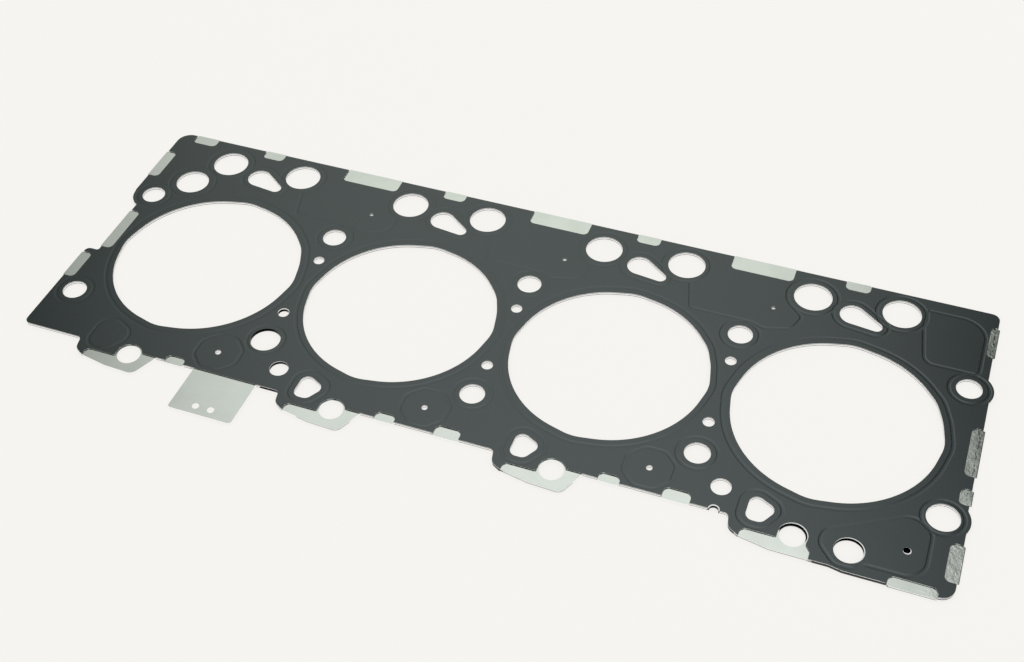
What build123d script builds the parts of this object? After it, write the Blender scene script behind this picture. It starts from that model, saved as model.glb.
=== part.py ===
"""Cylinder head gasket of a four-cylinder pushrod diesel engine, in three steel layers.

Two thin coated sheets lie on either side of a thicker bare spacer sheet.  Their sealing
beads are pressed inwards, so that the crowns bear on the spacer and the outer faces show
grooves.  X runs along the row of bores, Y across it towards the pushrod side and +Z
towards the cylinder head.  The origin is midway along the row of bores, in the plane on
which the lower sheet rests.
"""

import os
from math import atan2, cos, degrees, hypot, radians, sin

from build123d import *

# ---------------------------------------------------------------- driving dimensions (mm)
cylinders = 4
bore_pitch = 120.0

# Sheets and beads
coated_sheet = 0.25  # thickness of each beaded sheet
spacer_sheet = 0.80  # thickness of the bare sheet between them
bead_height = 0.28
bead_foot = 2.5  # width of a bead where it leaves the sheet
bead_crown = 0.8  # width of the flat on its top

# Combustion openings: circles with low corners, given as (angle, half the angle taken)
bore_radius = 53.1
bore_corners = [(0.0, 12.0), (31.0, 9.0), (91.0, 12.0), (179.0, 12.0), (267.0, 12.0)]
bore_corner_round = 24.0
bore_bead_gap = 4.1  # from the edge of the opening to the middle of its bead

# Head bolts and ring dowels, in two rows beside the bores
bolt_hole_radius = 6.65
dowel_hole_radius = 8.15
rear_bolt_y = 42.5
front_bolt_y = -44.2
bolt_bead_radius = 10.3
dowel_webs = [1, 4]  # the webs with a dowel in the front row
lobe_bolt = (-4.8, -77.8)  # measured from its bore
lobe_bolt_radius = 6.3

# Pushrod holes and the drain hole between them, measured from their bore
pushrod_a = (-29.4, 83.2)
pushrod_b = (18.5, 85.6)
pushrod_radius = 10.4
pushrod_a_bead_radius = 14.0
pushrod_b_bead_radius = 13.5
drain_wide = (-6.4, 76.7)
drain_wide_radius = 7.0
drain_narrow = (7.0, 71.4)
drain_narrow_radius = 3.4
drain_bead_gap = 3.5

# Oil and water passages, measured from their bore
web_hole_ys = [22.0, -22.7]
web_hole_radius = 3.05
jet_hole = (40.3, -61.0)
jet_hole_radius = 1.6
jet_bead_sides = 8
jet_bead_across = 25.0  # between opposite sides
jet_bead_round = 6.0
vent_hole = (72.0, 68.0)
vent_hole_radius = 1.2
oil_hole_radius = 5.1
first_oil_hole = (76.7, -61.0)
last_oil_hole = (-43.6, -60.8)
side_passage = [(-28.7, -58.5), (-28.7, -75.5), (-20.2, -75.5), (-14.4, -65.6)]
side_passage_round = 4.0
side_passage_bead_gap = 4.0
rear_hole = (-43.5, 60.5)
rear_hole_radius = 9.7
rear_hole_bead_radius = 14.0
front_hole = (21.7, -77.8)
front_hole_radius = 7.1
front_hole_spacer_radius = 8.6
pin_hole = (47.0, -68.7)
pin_hole_radius = 1.7

# Edges of the plate, across and along the row of bores, from the end bores
rear_edge = 101.4
front_edge = -75.3
deep_edge = -90.0  # in front of the last bore
left_edge = -72.8
left_waist = -65.3
waist_foot = -11.2
right_edge = 71.5
right_waist = 70.6
right_neck = 68.5
rear_left_round = 8.0
waist_rounds = (1.5, 3.0)
front_left_round = 3.5
front_right_round = 7.0
rear_right_round = 4.5
edge_notch = (-43.5, front_edge)  # half-round notch in front of the last bore
edge_notch_radius = 2.4
bolt_ear_radius = 12.4
dowel_ear_radius = 13.0

# Windows in the coated sheets, where the spacer shows: from, to and inner edge
window_round = 3.0
rear_wide_window = (42.0, 77.3, 91.4)
rear_narrow_window = (-14.4, -0.8, 95.4)
rear_end_window = (-62.9, -47.4, 95.0)
jet_windows = [(15.8, 26.8), (138.1, 149.1), (258.1, 269.1)]
jet_window_edge = -71.2
bolt_windows = [(170.8, 184.6), (290.6, 304.5)]
bolt_window_edge = -69.6
deep_window = (41.5, 64.4, -85.3)
left_windows = [(58.3, 82.2, -66.7), (-35.4, -14.8, -66.8)]
waist_window = (-7.6, 25.8, -59.3)
right_window = (-80.0, -57.4, 65.6)
right_waist_windows = [(-33.4, -23.4, 65.3), (-15.0, 16.8, 65.3)]
neck_window = (68.2, 91.0, 65.0)
tongue_reach = 1.0  # how far the spacer stands out past a window
tongue_round = 0.9

# Front lobes, which carry the outer bolts: corners measured from their bore, with rounding
lobe_root = (-36.3, 2.5)  # x and rounding where a lobe leaves the front edge
lobe_corners = [(-34.6, -82.9, 5.0), (-29.5, -85.9, 5.0), (-13.5, -88.8, 12.0)]
lobe_nose = (4.0, -89.6, 4.5)
lobe_return = (10.2, 1.0)
last_step = [(14.5, -88.8, 5.0), (21.0, -90.0, 5.0)]
lobe_window_edge = -81.1
lobe_window_toe = -28.9
lobe_notch_radius = 7.0
lobe_notch_round = 0.8
lobe_end = 14.0
last_lobe_heel = (4.8, -84.6)
last_heel_round = 1.5

# Beads along the water galleries and the oil passages: corners measured from their bore
gallery_floor = [(24.8, 70.0, 8.0), (29.2, 53.8, 2.5), (64.0, 53.8, 4.0), (70.0, 51.0, 8.0)]
gallery_rise = [(85.0, 55.6, 6.0), (88.6, 66.0, 4.0)]
gallery_floor_angles = (-66.0, -130.0)  # where it leaves one pushrod ring and meets the next
end_gallery_rear = [(31.4, 93.1, 1.5), (31.0, 80.0, 9.0)]
end_gallery_front = [(35.2, 53.7, 6.0), (63.5, 53.7, 3.0), (63.5, 93.1, 14.0)]
oil_bead_right = [(46.5, -47.5, 9.0), (57.2, -53.8, 9.0), (57.2, -83.2, 10.0), (30.0, -83.2, 5.0)]
oil_bead_left = [(25.5, -87.3, 5.0), (16.5, -87.3, 6.0), (7.4, -77.5, 8.0), (8.6, -69.6, 6.0)]

# Name tab of the spacer
tab_left = 33.4
tab_right = 70.3
tab_end = -103.5
tab_round = 1.8
tab_holes = [(47.5, -98.5), (56.3, -98.5)]
tab_hole_radius = 1.9

# ---------------------------------------------------------------- places worked out
first_x = -bore_pitch * (cylinders - 1) / 2
last_x = -first_x
bore_xs = [first_x + bore_pitch * k for k in range(cylinders)]
web_xs = [first_x + bore_pitch * (k - 0.5) for k in range(cylinders + 1)]
leading_bores = bore_xs[:-1]  # those with another bore after them

spacer_z = coated_sheet + bead_height
top_z = spacer_z + spacer_sheet + bead_height + coated_sheet


def from_bore(bore_x, place):
    """A place given from a bore's centre, in the part's frame."""
    return (bore_x + place[0], place[1])


def corners_at(bore_x, corners):
    """Rounded corners given from a bore's centre, in the part's frame."""
    return [(bore_x + x, y, rounding) for x, y, rounding in corners]


def on_ring(centre, radius, angle):
    """The point at an angle, in degrees, on a ring."""
    return (centre[0] + radius * cos(radians(angle)), centre[1] + radius * sin(radians(angle)))


rear_bolts = [(x, rear_bolt_y) for x in web_xs]
front_bolts = [(x, front_bolt_y) for web, x in enumerate(web_xs) if web not in dowel_webs]
dowels = [(web_xs[web], front_bolt_y) for web in dowel_webs]
lobe_bolts = [from_bore(x, lobe_bolt) for x in bore_xs]
pushrods = [from_bore(x, place) for x in bore_xs for place in (pushrod_a, pushrod_b)]
web_holes = [(x, y) for x in web_xs[1:-1] for y in web_hole_ys]
jet_holes = [from_bore(x, jet_hole) for x in leading_bores]
vent_holes = [from_bore(x, vent_hole) for x in leading_bores]
oil_holes = [from_bore(first_x, first_oil_hole), from_bore(last_x, last_oil_hole)]


# ---------------------------------------------------------------- paths
def rounded_path(corners, close=True):
    """A path through corners given as (x, y, radius); an open one ends on its end points."""
    rounds = [r for x, y, r in (corners if close else corners[1:-1])]
    with BuildLine() as path:
        FilletPolyline(*[(x, y) for x, y, r in corners], radius=rounds, close=close)
    return path.wires()[0]


def cornered_circle(centre_x, radius):
    """A circle on the row of bores whose corners stand out where two tangents meet."""
    centre = (centre_x, 0.0)
    following = bore_corners[1:] + [(bore_corners[0][0] + 360.0, bore_corners[0][1])]
    with BuildLine() as path:
        for (angle, half), (next_angle, next_half) in zip(bore_corners, following):
            CenterArc(centre, radius, angle + half, next_angle - next_half - angle - half)
            before = on_ring(centre, radius, next_angle - next_half)
            tip = on_ring(centre, radius / cos(radians(next_half)), next_angle)
            after = on_ring(centre, radius, next_angle + next_half)
            FilletPolyline(before, tip, after, radius=bore_corner_round)
    return path.wires()[0]


def drain_path(bore_x, gap):
    """A path around the drain hole: two circles and their outer tangents."""
    wide, narrow = from_bore(bore_x, drain_wide), from_bore(bore_x, drain_narrow)
    wide_radius, narrow_radius = drain_wide_radius + gap, drain_narrow_radius + gap
    run_x, run_y = narrow[0] - wide[0], narrow[1] - wide[1]
    along = degrees(atan2(run_y, run_x))
    turn = 90.0 - degrees(atan2(wide_radius - narrow_radius, hypot(run_x, run_y)))
    with BuildLine() as path:
        CenterArc(wide, wide_radius, along + turn, 360.0 - 2 * turn)
        CenterArc(narrow, narrow_radius, along - turn, 2 * turn)
        for side in (turn, -turn):
            Line(on_ring(wide, wide_radius, along + side), on_ring(narrow, narrow_radius, along + side))
    return path.wires()[0]


def side_passage_path(bore_x):
    """A path around the four-sided passage beside a front lobe."""
    return rounded_path([(*from_bore(bore_x, corner), side_passage_round) for corner in side_passage])


# ---------------------------------------------------------------- outlines of the sheets
def plate_corners():
    """The plate's corners and their rounding, from the rear left one by way of the front."""
    left_x, waist_x = first_x + left_edge, first_x + left_waist
    right_x, right_waist_x = last_x + right_edge, last_x + right_waist
    right_neck_x = last_x + right_neck
    inner_round, outer_round = waist_rounds
    corners = [
        (left_x, rear_edge, rear_left_round),
        (left_x, rear_bolt_y, 0.0),
        (waist_x, rear_bolt_y, 0.0),
        (waist_x, waist_foot, inner_round),
        (left_x, waist_foot, outer_round),
        (left_x, front_edge, front_left_round),
    ]
    for bore_x in bore_xs:
        corners += [(bore_x + lobe_root[0], front_edge, lobe_root[1])]
        corners += corners_at(bore_x, lobe_corners)
        if bore_x != last_x:
            corners += corners_at(bore_x, [lobe_nose])
            corners += [(bore_x + lobe_return[0], front_edge, lobe_return[1])]
    return [
        *corners,
        *corners_at(last_x, last_step),
        (right_x, deep_edge, front_right_round),
        (right_x, front_bolt_y, 0.0),
        (right_waist_x, front_bolt_y, 0.0),
        (right_waist_x, rear_bolt_y, 0.0),
        (right_neck_x, rear_bolt_y, 0.0),
        (right_neck_x, rear_edge, rear_right_round),
    ]


def window_boxes(reach):
    """Each window as (left, right, low, high), drawn out past its own edge of the plate."""
    rear = [(first_x, *rear_end_window)]
    rear += [(bore_x, *rear_narrow_window) for bore_x in bore_xs]
    rear += [(bore_x, *rear_wide_window) for bore_x in leading_bores]
    front = [(first_x, left, right, jet_window_edge, front_edge) for left, right in jet_windows]
    front += [(first_x, left, right, bolt_window_edge, front_edge) for left, right in bolt_windows]
    front += [(last_x, *deep_window, deep_edge)]
    left_side = [(*window, left_edge) for window in left_windows] + [(*waist_window, left_waist)]
    right_side = [(*right_window, right_edge), (*neck_window, right_neck)]
    right_side += [(*window, right_waist) for window in right_waist_windows]
    boxes = [(x + left, x + right, inner, rear_edge + reach) for x, left, right, inner in rear]
    boxes += [(x + left, x + right, edge - reach, inner) for x, left, right, inner, edge in front]
    for low, high, inner, edge in left_side:
        boxes.append((first_x + edge - reach, first_x + inner, low, high))
    for low, high, inner, edge in right_side:
        boxes.append((last_x + inner, last_x + edge + reach, low, high))
    return boxes


def lobe_window_corners(bore_x):
    """The corners and rounding of the window at a front lobe, drawn out past the lobe's end."""
    bolt_x, bolt_y = from_bore(bore_x, lobe_bolt)
    toe_x = bore_x + lobe_window_toe
    near_x, far_x = bolt_x - lobe_notch_radius, bolt_x + lobe_notch_radius
    corners = [
        (near_x, bolt_y, 0.0),
        (near_x, lobe_window_edge, lobe_notch_round),
        (toe_x, lobe_window_edge, window_round),
        (toe_x, tab_end, 0.0),
    ]
    if bore_x == last_x:
        heel_x, heel_y = from_bore(bore_x, last_lobe_heel)
        return corners + [
            (heel_x, tab_end, 0.0),
            (heel_x, heel_y, last_heel_round),
            (far_x, lobe_window_edge, last_heel_round),
            (far_x, bolt_y, 0.0),
        ]
    end_x = bore_x + lobe_end
    return corners + [
        (end_x, tab_end, 0.0),
        (end_x, front_edge, 0.0),
        (bolt_x, front_edge, 0.0),
        (bolt_x, bolt_y, 0.0),
    ]


def rounded_boxes(boxes, radius, mode):
    """Rounded rectangles in the current sketch, each from its four sides."""
    for left, right, low, high in boxes:
        with Locations(((left + right) / 2, (low + high) / 2)):
            RectangleRounded(right - left, high - low, radius, mode=mode)


def circles(places, radius, mode=Mode.SUBTRACT):
    """The same circle at each place, in the current sketch."""
    with Locations(*places):
        Circle(radius, mode=mode)


with BuildSketch() as plate:
    make_face(rounded_path(plate_corners()))
    circles([rear_bolts[0], rear_bolts[-1]], bolt_ear_radius, Mode.ADD)
    circles([dowels[-1]], dowel_ear_radius, Mode.ADD)
    circles([from_bore(last_x, edge_notch)], edge_notch_radius)

with BuildSketch() as passages:
    for bore_x in bore_xs:
        make_face(cornered_circle(bore_x, bore_radius))
        make_face(drain_path(bore_x, 0.0))
    for bore_x in bore_xs[1:]:
        make_face(side_passage_path(bore_x))
    circles(rear_bolts + front_bolts, bolt_hole_radius, Mode.ADD)
    circles(dowels, dowel_hole_radius, Mode.ADD)
    circles(web_holes, web_hole_radius, Mode.ADD)
    circles(pushrods, pushrod_radius, Mode.ADD)
    circles(jet_holes, jet_hole_radius, Mode.ADD)
    circles(oil_holes, oil_hole_radius, Mode.ADD)
    circles([from_bore(first_x, rear_hole)], rear_hole_radius, Mode.ADD)
    circles([from_bore(last_x, front_hole)], front_hole_radius, Mode.ADD)

with BuildSketch() as coated_outline:
    add(plate.sketch)
    rounded_boxes(window_boxes(2 * window_round), window_round, Mode.SUBTRACT)
    for bore_x in bore_xs:
        make_face(rounded_path(lobe_window_corners(bore_x)), mode=Mode.SUBTRACT)
    circles(lobe_bolts, lobe_notch_radius)
    circles(vent_holes, vent_hole_radius)
    add(passages.sketch, mode=Mode.SUBTRACT)

with BuildSketch() as spacer_outline:
    add(plate.sketch)
    rounded_boxes(window_boxes(tongue_reach), tongue_round, Mode.ADD)
    tab = (first_x + tab_left, first_x + tab_right, tab_end, front_edge + 2 * tab_round)
    rounded_boxes([tab], tab_round, Mode.ADD)
    circles([from_bore(first_x, place) for place in tab_holes], tab_hole_radius)
    circles(lobe_bolts, lobe_bolt_radius)
    circles([from_bore(last_x, pin_hole)], pin_hole_radius)
    circles([from_bore(last_x, front_hole)], front_hole_spacer_radius)
    add(passages.sketch, mode=Mode.SUBTRACT)


# ---------------------------------------------------------------- beads
def bead_section(place, heading):
    """The section of a bead that stands on the XY plane and runs through a place."""
    foot, crown = bead_foot / 2, bead_crown / 2
    with BuildSketch(Plane(place, x_dir=Vector(0, 0, 1).cross(heading), z_dir=heading)) as section:
        Polygon((-foot, 0), (foot, 0), (crown, bead_height), (-crown, bead_height), align=None)
    return section.sketch


def ring_bead(centre, radius):
    """A bead around a round hole."""
    x, y = centre
    revolve(bead_section((x + radius, y, 0), Vector(0, 1, 0)), axis=Axis((x, y, 0), (0, 0, 1)))


def swept_bead(path):
    """A bead along a path in the XY plane."""
    sweep(bead_section(path @ 0, path % 0), path=path)


def gallery_floor_path(bore_x):
    """The bead under the water gallery, from a bore's second pushrod ring to the next ring."""
    start_angle, end_angle = gallery_floor_angles
    start = on_ring(from_bore(bore_x, pushrod_b), pushrod_b_bead_radius, start_angle)
    end = on_ring(from_bore(bore_x + bore_pitch, pushrod_a), pushrod_a_bead_radius, end_angle)
    corners = corners_at(bore_x, gallery_floor + gallery_rise)
    return rounded_path([(*start, 0.0), *corners, (*end, 0.0)], close=False)


def jet_bead_path(place):
    """The many-sided bead around an oil jet hole."""
    turn = 360.0 / jet_bead_sides
    corner_reach = jet_bead_across / 2 / cos(radians(turn / 2))
    corners = [on_ring(place, corner_reach, turn * (side + 0.5)) for side in range(jet_bead_sides)]
    return rounded_path([(*corner, jet_bead_round) for corner in corners])


with BuildPart() as beads:
    for bore_x in bore_xs:
        swept_bead(cornered_circle(bore_x, bore_radius + bore_bead_gap))
        swept_bead(drain_path(bore_x, drain_bead_gap))
        swept_bead(side_passage_path(bore_x).offset_2d(side_passage_bead_gap))
        ring_bead(from_bore(bore_x, pushrod_a), pushrod_a_bead_radius)
        ring_bead(from_bore(bore_x, pushrod_b), pushrod_b_bead_radius)
    for place in rear_bolts + front_bolts + dowels:
        ring_bead(place, bolt_bead_radius)
    for place in jet_holes:
        swept_bead(jet_bead_path(place))
    for bore_x in leading_bores:
        swept_bead(gallery_floor_path(bore_x))
    ring_bead(from_bore(first_x, rear_hole), rear_hole_bead_radius)
    swept_bead(rounded_path(corners_at(last_x, end_gallery_rear + end_gallery_front)))
    swept_bead(rounded_path(corners_at(last_x, oil_bead_right + oil_bead_left)))


# ---------------------------------------------------------------- the three layers
with BuildPart() as lower_layer:
    extrude(coated_outline.sketch, amount=coated_sheet)
    add(beads.part.moved(Location((0, 0, coated_sheet))))
    add(beads.part, mode=Mode.SUBTRACT)

with BuildPart() as upper_layer:
    add(lower_layer.part.moved(Location((0, 0, -top_z))))
    mirror(about=Plane.XY, mode=Mode.REPLACE)
    with Locations((*from_bore(last_x, pin_hole), top_z)):
        Hole(pin_hole_radius)

with BuildPart() as bare_spacer:
    with BuildSketch(Plane.XY.offset(spacer_z)):
        add(spacer_outline.sketch)
    extrude(amount=spacer_sheet)

os.makedirs("parts", exist_ok=True)
bare_spacer.part.label = "bare_spacer"
export_step(bare_spacer.part, "parts/bare_spacer.step")
upper_layer.part.label = "upper_layer"
export_step(upper_layer.part, "parts/upper_layer.step")
lower_layer.part.label = "lower_layer"
export_step(lower_layer.part, "parts/lower_layer.step")
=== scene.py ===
# %% [markdown]
# # A cylinder head gasket in three sheets of steel
# The part is a stack: a bare spacer sheet between two thin coated sheets.  Their sealing
# beads are pressed inwards and bear on the spacer.  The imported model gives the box, the
# place and the thickness of each sheet.  Here every sheet is cut again from its own
# outline, with a finer mesh, rounded beads and broken edges, and gets the finish of the
# real one.

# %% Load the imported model
import math

import bpy
import numpy as np
from mathutils import Matrix, Vector
from mathutils.geometry import delaunay_2d_cdt


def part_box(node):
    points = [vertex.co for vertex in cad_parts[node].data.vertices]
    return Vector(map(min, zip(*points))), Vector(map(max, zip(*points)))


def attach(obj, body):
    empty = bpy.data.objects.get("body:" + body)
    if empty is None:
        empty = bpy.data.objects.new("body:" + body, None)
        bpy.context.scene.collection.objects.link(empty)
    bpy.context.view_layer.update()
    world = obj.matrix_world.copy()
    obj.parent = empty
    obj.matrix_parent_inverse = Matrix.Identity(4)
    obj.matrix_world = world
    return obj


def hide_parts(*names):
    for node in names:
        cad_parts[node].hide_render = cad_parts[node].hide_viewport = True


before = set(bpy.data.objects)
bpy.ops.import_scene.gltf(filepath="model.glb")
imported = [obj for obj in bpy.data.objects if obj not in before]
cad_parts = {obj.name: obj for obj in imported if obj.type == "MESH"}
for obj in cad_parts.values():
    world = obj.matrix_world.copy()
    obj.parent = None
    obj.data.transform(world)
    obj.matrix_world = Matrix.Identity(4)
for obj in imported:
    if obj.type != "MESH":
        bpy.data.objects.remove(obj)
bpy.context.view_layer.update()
scene = bpy.context.scene
scene.view_settings.view_transform = "Standard"

# %% [markdown]
# ## Camera
# The gasket lies flat, and is seen from the front right, from about 45 degrees up.  The
# camera is placed by where it stands, the point of the floor that it looks at and a
# small roll, because those are easy to think about and to change.

# %% Camera
camera_place = Vector((0.2054, -0.4950, 0.5527))
camera_target = Vector((0.0029, 0.0068, 0.0))
camera_roll = math.radians(-2.13)
camera_lens = 50.28

camera = bpy.data.objects.new("camera", bpy.data.cameras.new("camera"))
camera.data.lens = camera_lens
camera.data.clip_start = 0.01
looking = (camera_target - camera_place).to_track_quat("-Z", "Y").to_matrix().to_4x4()
roll = Matrix.Rotation(camera_roll, 4, "Z")
camera.matrix_world = Matrix.Translation(camera_place) @ looking @ roll
scene.collection.objects.link(camera)
scene.camera = camera
print("camera stands", round((camera_target - camera_place).length, 3), "m away")

# %% [markdown]
# ## Light
# Flat sheets of satin rubber and rolled steel show what they reflect, far more than what
# falls on them.  So the part of the world that glossy rays see is a studio with one broad
# soft box, high behind the gasket.  One ramp sets how bright it is by height: it grows
# towards the top, and is held back right overhead so that bare steel doesn't burn out in
# a view from above.  The other ramp sets how it fades to the sides: slowly on the left,
# and at a sharp edge on the right.  Everything else gets plain even light, the camera
# sees a pale backdrop, and one wide lamp adds a soft shadow.

# %% Helpers for nodes
def link(tree, source, target):
    """Join two sockets."""
    tree.links.new(source, target)


def node(tree, kind, **values):
    """Add a node and set its properties and plain inputs by name."""
    made = tree.nodes.new(kind)
    for name, value in values.items():
        if name in made.inputs:
            made.inputs[name].default_value = value
        else:
            setattr(made, name, value)
    return made


def calc(tree, operation, *values):
    """One sum on sockets and plain numbers, and the socket of its result."""
    made = node(tree, "ShaderNodeMath", operation=operation)
    for socket, value in zip(made.inputs, values):
        if isinstance(value, float):
            socket.default_value = value
        else:
            link(tree, value, socket)
    return made.outputs[0]


def climb(tree, value, start, end, kind="LINEAR"):
    """How far a number has come from a start to an end, held between 0 and 1."""
    made = node(tree, "ShaderNodeMapRange", interpolation_type=kind)
    made.inputs["From Min"].default_value = start
    made.inputs["From Max"].default_value = end
    link(tree, value, made.inputs["Value"])
    return made.outputs[0]


def ramp(tree, factor, stops, kind="LINEAR"):
    """A colour ramp from places and colours, and the socket of its colour."""
    made = node(tree, "ShaderNodeValToRGB")
    made.color_ramp.interpolation = kind
    while len(made.color_ramp.elements) < len(stops):
        made.color_ramp.elements.new(0.5)
    for stop, (position, colour) in zip(made.color_ramp.elements, stops):
        stop.position = position
        stop.color = (*colour, 1.0)
    link(tree, factor, made.inputs["Fac"])
    return made.outputs["Color"]


print("helpers:", [helper.__name__ for helper in (link, node, calc, climb, ramp)])

# %% Levels of the soft box
# By the height of a direction: its level and its tint.
warm, cool = (0.955, 0.995, 0.965), (0.95, 0.99, 0.99)
sky_levels = [(0.3, 0.30, warm), (0.5, 0.36, warm), (0.6, 0.44, warm), (0.67, 0.50, warm)]
sky_levels += [(0.79, 0.505, cool), (0.86, 0.76, cool), (0.94, 0.95, cool), (0.98, 0.52, cool)]
sky_light = 2.0

# By how far a direction points aside: its level.
panel_across = (0.9205, 0.3907, 0.0)  # level direction across the soft box
panel_fade = [(-0.8, 0.6), (-0.5, 0.04), (-0.42, 0.04), (-0.30, 0.38), (-0.22, 0.78)]
panel_fade += [(-0.14, 0.95), (-0.05, 1.0), (0.08, 1.0), (0.19, 0.96), (0.27, 0.86)]
panel_fade += [(0.328, 0.04), (0.45, 0.04), (0.75, 0.6)]
panel_reach = 1.0  # how far to each side the fade is laid out
print(len(sky_levels), "levels by height and", len(panel_fade), "from side to side")

# %% World
even_light = 0.86
backdrop = (0.922, 0.905, 0.871, 1.0)  # as pale as the lit floor

world = bpy.data.worlds.new("studio")
scene.world = world
world.use_nodes = True
tree = world.node_tree
tree.nodes.clear()

place = node(tree, "ShaderNodeTexCoord")
split = node(tree, "ShaderNodeSeparateXYZ")
link(tree, place.outputs["Generated"], split.inputs[0])
by_height = [(z, [level * part for part in tint]) for z, level, tint in sky_levels]
tinted = ramp(tree, split.outputs["Z"], by_height)
aside = node(tree, "ShaderNodeVectorMath", operation="DOT_PRODUCT")
aside.inputs[1].default_value = panel_across
link(tree, place.outputs["Generated"], aside.inputs[0])
across = climb(tree, aside.outputs["Value"], -panel_reach, panel_reach)
by_side = [(0.5 + side / panel_reach / 2, (level,) * 3) for side, level in panel_fade]
strength = calc(tree, "MULTIPLY", ramp(tree, across, by_side), sky_light)

soft_box = node(tree, "ShaderNodeBackground")
link(tree, tinted, soft_box.inputs["Color"])
link(tree, strength, soft_box.inputs["Strength"])
even = node(tree, "ShaderNodeBackground", Color=(1.0, 1.0, 1.0, 1.0), Strength=even_light)
behind = node(tree, "ShaderNodeBackground", Color=backdrop, Strength=1.0)
rays = node(tree, "ShaderNodeLightPath")
output = node(tree, "ShaderNodeOutputWorld")
shown = even.outputs[0]
for ray, light in (("Is Glossy Ray", soft_box), ("Is Camera Ray", behind)):
    choose = node(tree, "ShaderNodeMixShader")
    link(tree, rays.outputs[ray], choose.inputs[0])
    link(tree, shown, choose.inputs[1])
    link(tree, light.outputs[0], choose.inputs[2])
    shown = choose.outputs[0]
link(tree, shown, output.inputs["Surface"])
print("world: even light", even_light, "soft box", sky_light, "across", panel_across)

# %% Lamp
def soft_lamp(name, place, target, size, power):
    """A square area lamp that faces a point."""
    lamp = bpy.data.objects.new(name, bpy.data.lights.new(name, "AREA"))
    lamp.data.size = size
    lamp.data.energy = power
    turn = (Vector(target) - Vector(place)).to_track_quat("-Z", "Y").to_matrix().to_4x4()
    lamp.matrix_world = Matrix.Translation(place) @ turn
    scene.collection.objects.link(lamp)
    return lamp


key = soft_lamp("key_lamp", (0.55, 0.9, 1.3), (0.0, 0.0, 0.0), 1.4, 3.0)
key.visible_glossy = False
print("lamp:", key.name, key.data.energy, "W")

# %% [markdown]
# ## Floor
# A plain pale sheet that runs out past the view.  It is stage, not part of the gasket.
# What the camera sees of it is mostly its own light, so the background is even and the
# shadow stays faint.  Polished cut edges see it as well, and take up its brightness.

# %% Floor
floor_half = 4.0
floor_colour = (0.913, 0.905, 0.863, 1.0)
floor_glow = 0.82  # share of its own light, so that the shadow on it stays faint
glow_colour = (0.942, 0.925, 0.893, 1.0)

floor_mesh = bpy.data.meshes.new("floor")
corners = [(-floor_half, -floor_half, 0.0), (floor_half, -floor_half, 0.0)]
corners += [(floor_half, floor_half, 0.0), (-floor_half, floor_half, 0.0)]
floor_mesh.from_pydata(corners, [], [(0, 1, 2, 3)])
floor = bpy.data.objects.new("floor", floor_mesh)
scene.collection.objects.link(floor)
floor_paint = bpy.data.materials.new("floor_paper")
floor_paint.use_nodes = True
tree = floor_paint.node_tree
paper = tree.nodes["Principled BSDF"]
paper.inputs["Base Color"].default_value = floor_colour
paper.inputs["Roughness"].default_value = 0.9
glow = node(tree, "ShaderNodeEmission", Color=glow_colour, Strength=1.0)
rays = node(tree, "ShaderNodeLightPath")
direct, mirrored = rays.outputs["Is Camera Ray"], rays.outputs["Is Glossy Ray"]
mixed = node(tree, "ShaderNodeMixShader")
link(tree, calc(tree, "MULTIPLY_ADD", direct, floor_glow, mirrored), mixed.inputs[0])
link(tree, paper.outputs[0], mixed.inputs[1])
link(tree, glow.outputs[0], mixed.inputs[2])
link(tree, mixed.outputs[0], tree.nodes["Material Output"].inputs["Surface"])
floor_mesh.materials.append(floor_paint)
print("floor:", 2 * floor_half, "m wide")

# %% [markdown]
# ## Sizes
# All sizes are in millimetres and follow the drawing of the gasket: places along the
# row are measured from a bore, as an engine designer would.  They could be read off the
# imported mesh, but a named size says what it is and is easy to change.  Only the planes
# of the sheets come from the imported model, so what is shown stays inside it.

# %% Sizes of the row, the sheets and the beads
MM = 0.001
cylinders = 4
bore_pitch = 120.0
first_x = -bore_pitch * (cylinders - 1) / 2
last_x = -first_x
bore_xs = [first_x + bore_pitch * k for k in range(cylinders)]
leading_bores = bore_xs[:-1]
web_xs = [first_x + bore_pitch * (k - 0.5) for k in range(cylinders + 1)]


def thickness(name):
    """A sheet's lowest and highest plane, in millimetres."""
    low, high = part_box(name)
    return low[2] / MM, high[2] / MM


spacer_low, spacer_high = thickness("bare_spacer")
lower_low, _ = thickness("lower_layer")
upper_low, upper_high = thickness("upper_layer")
bead_height = 0.28
coated_sheet = upper_high - upper_low - bead_height
bead_foot = 1.25  # half the width of a bead where it leaves the sheet
bead_crown = 0.35  # half the width of the flat on its top
print("coated sheet", round(coated_sheet, 3), "spacer", round(spacer_high - spacer_low, 3))

# %% Places of the holes
bolt_rear_y = 42.5
bolt_front_y = -44.2
rear_bolts = [(x, bolt_rear_y) for x in web_xs]
front_bolts = [(web_xs[k], bolt_front_y) for k in (0, 2, 3)]
dowels = [(web_xs[k], bolt_front_y) for k in (1, 4)]


def from_bores(xs, place):
    """The same place beside each of some bores."""
    return [(x + place[0], place[1]) for x in xs]


pushrods_a = from_bores(bore_xs, (-29.4, 83.2))
pushrods_b = from_bores(bore_xs, (18.5, 85.6))
lobe_bolts = from_bores(bore_xs, (-4.8, -77.8))
web_holes = [(x, y) for x in web_xs[1:-1] for y in (22.0, -22.7)]
jet_holes = from_bores(leading_bores, (40.3, -61.0))
vent_holes = from_bores(leading_bores, (72.0, 68.0))
oil_holes = [(first_x + 76.7, -61.0), (last_x - 43.6, -60.8)]
rear_hole = (first_x - 43.5, 60.5)
front_hole = (last_x + 21.7, -77.8)
pin_hole = (last_x + 47.0, -68.7)
edge_notch = (last_x - 43.5, -75.3)
print(len(rear_bolts + front_bolts + dowels), "bolt and dowel holes")

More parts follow.
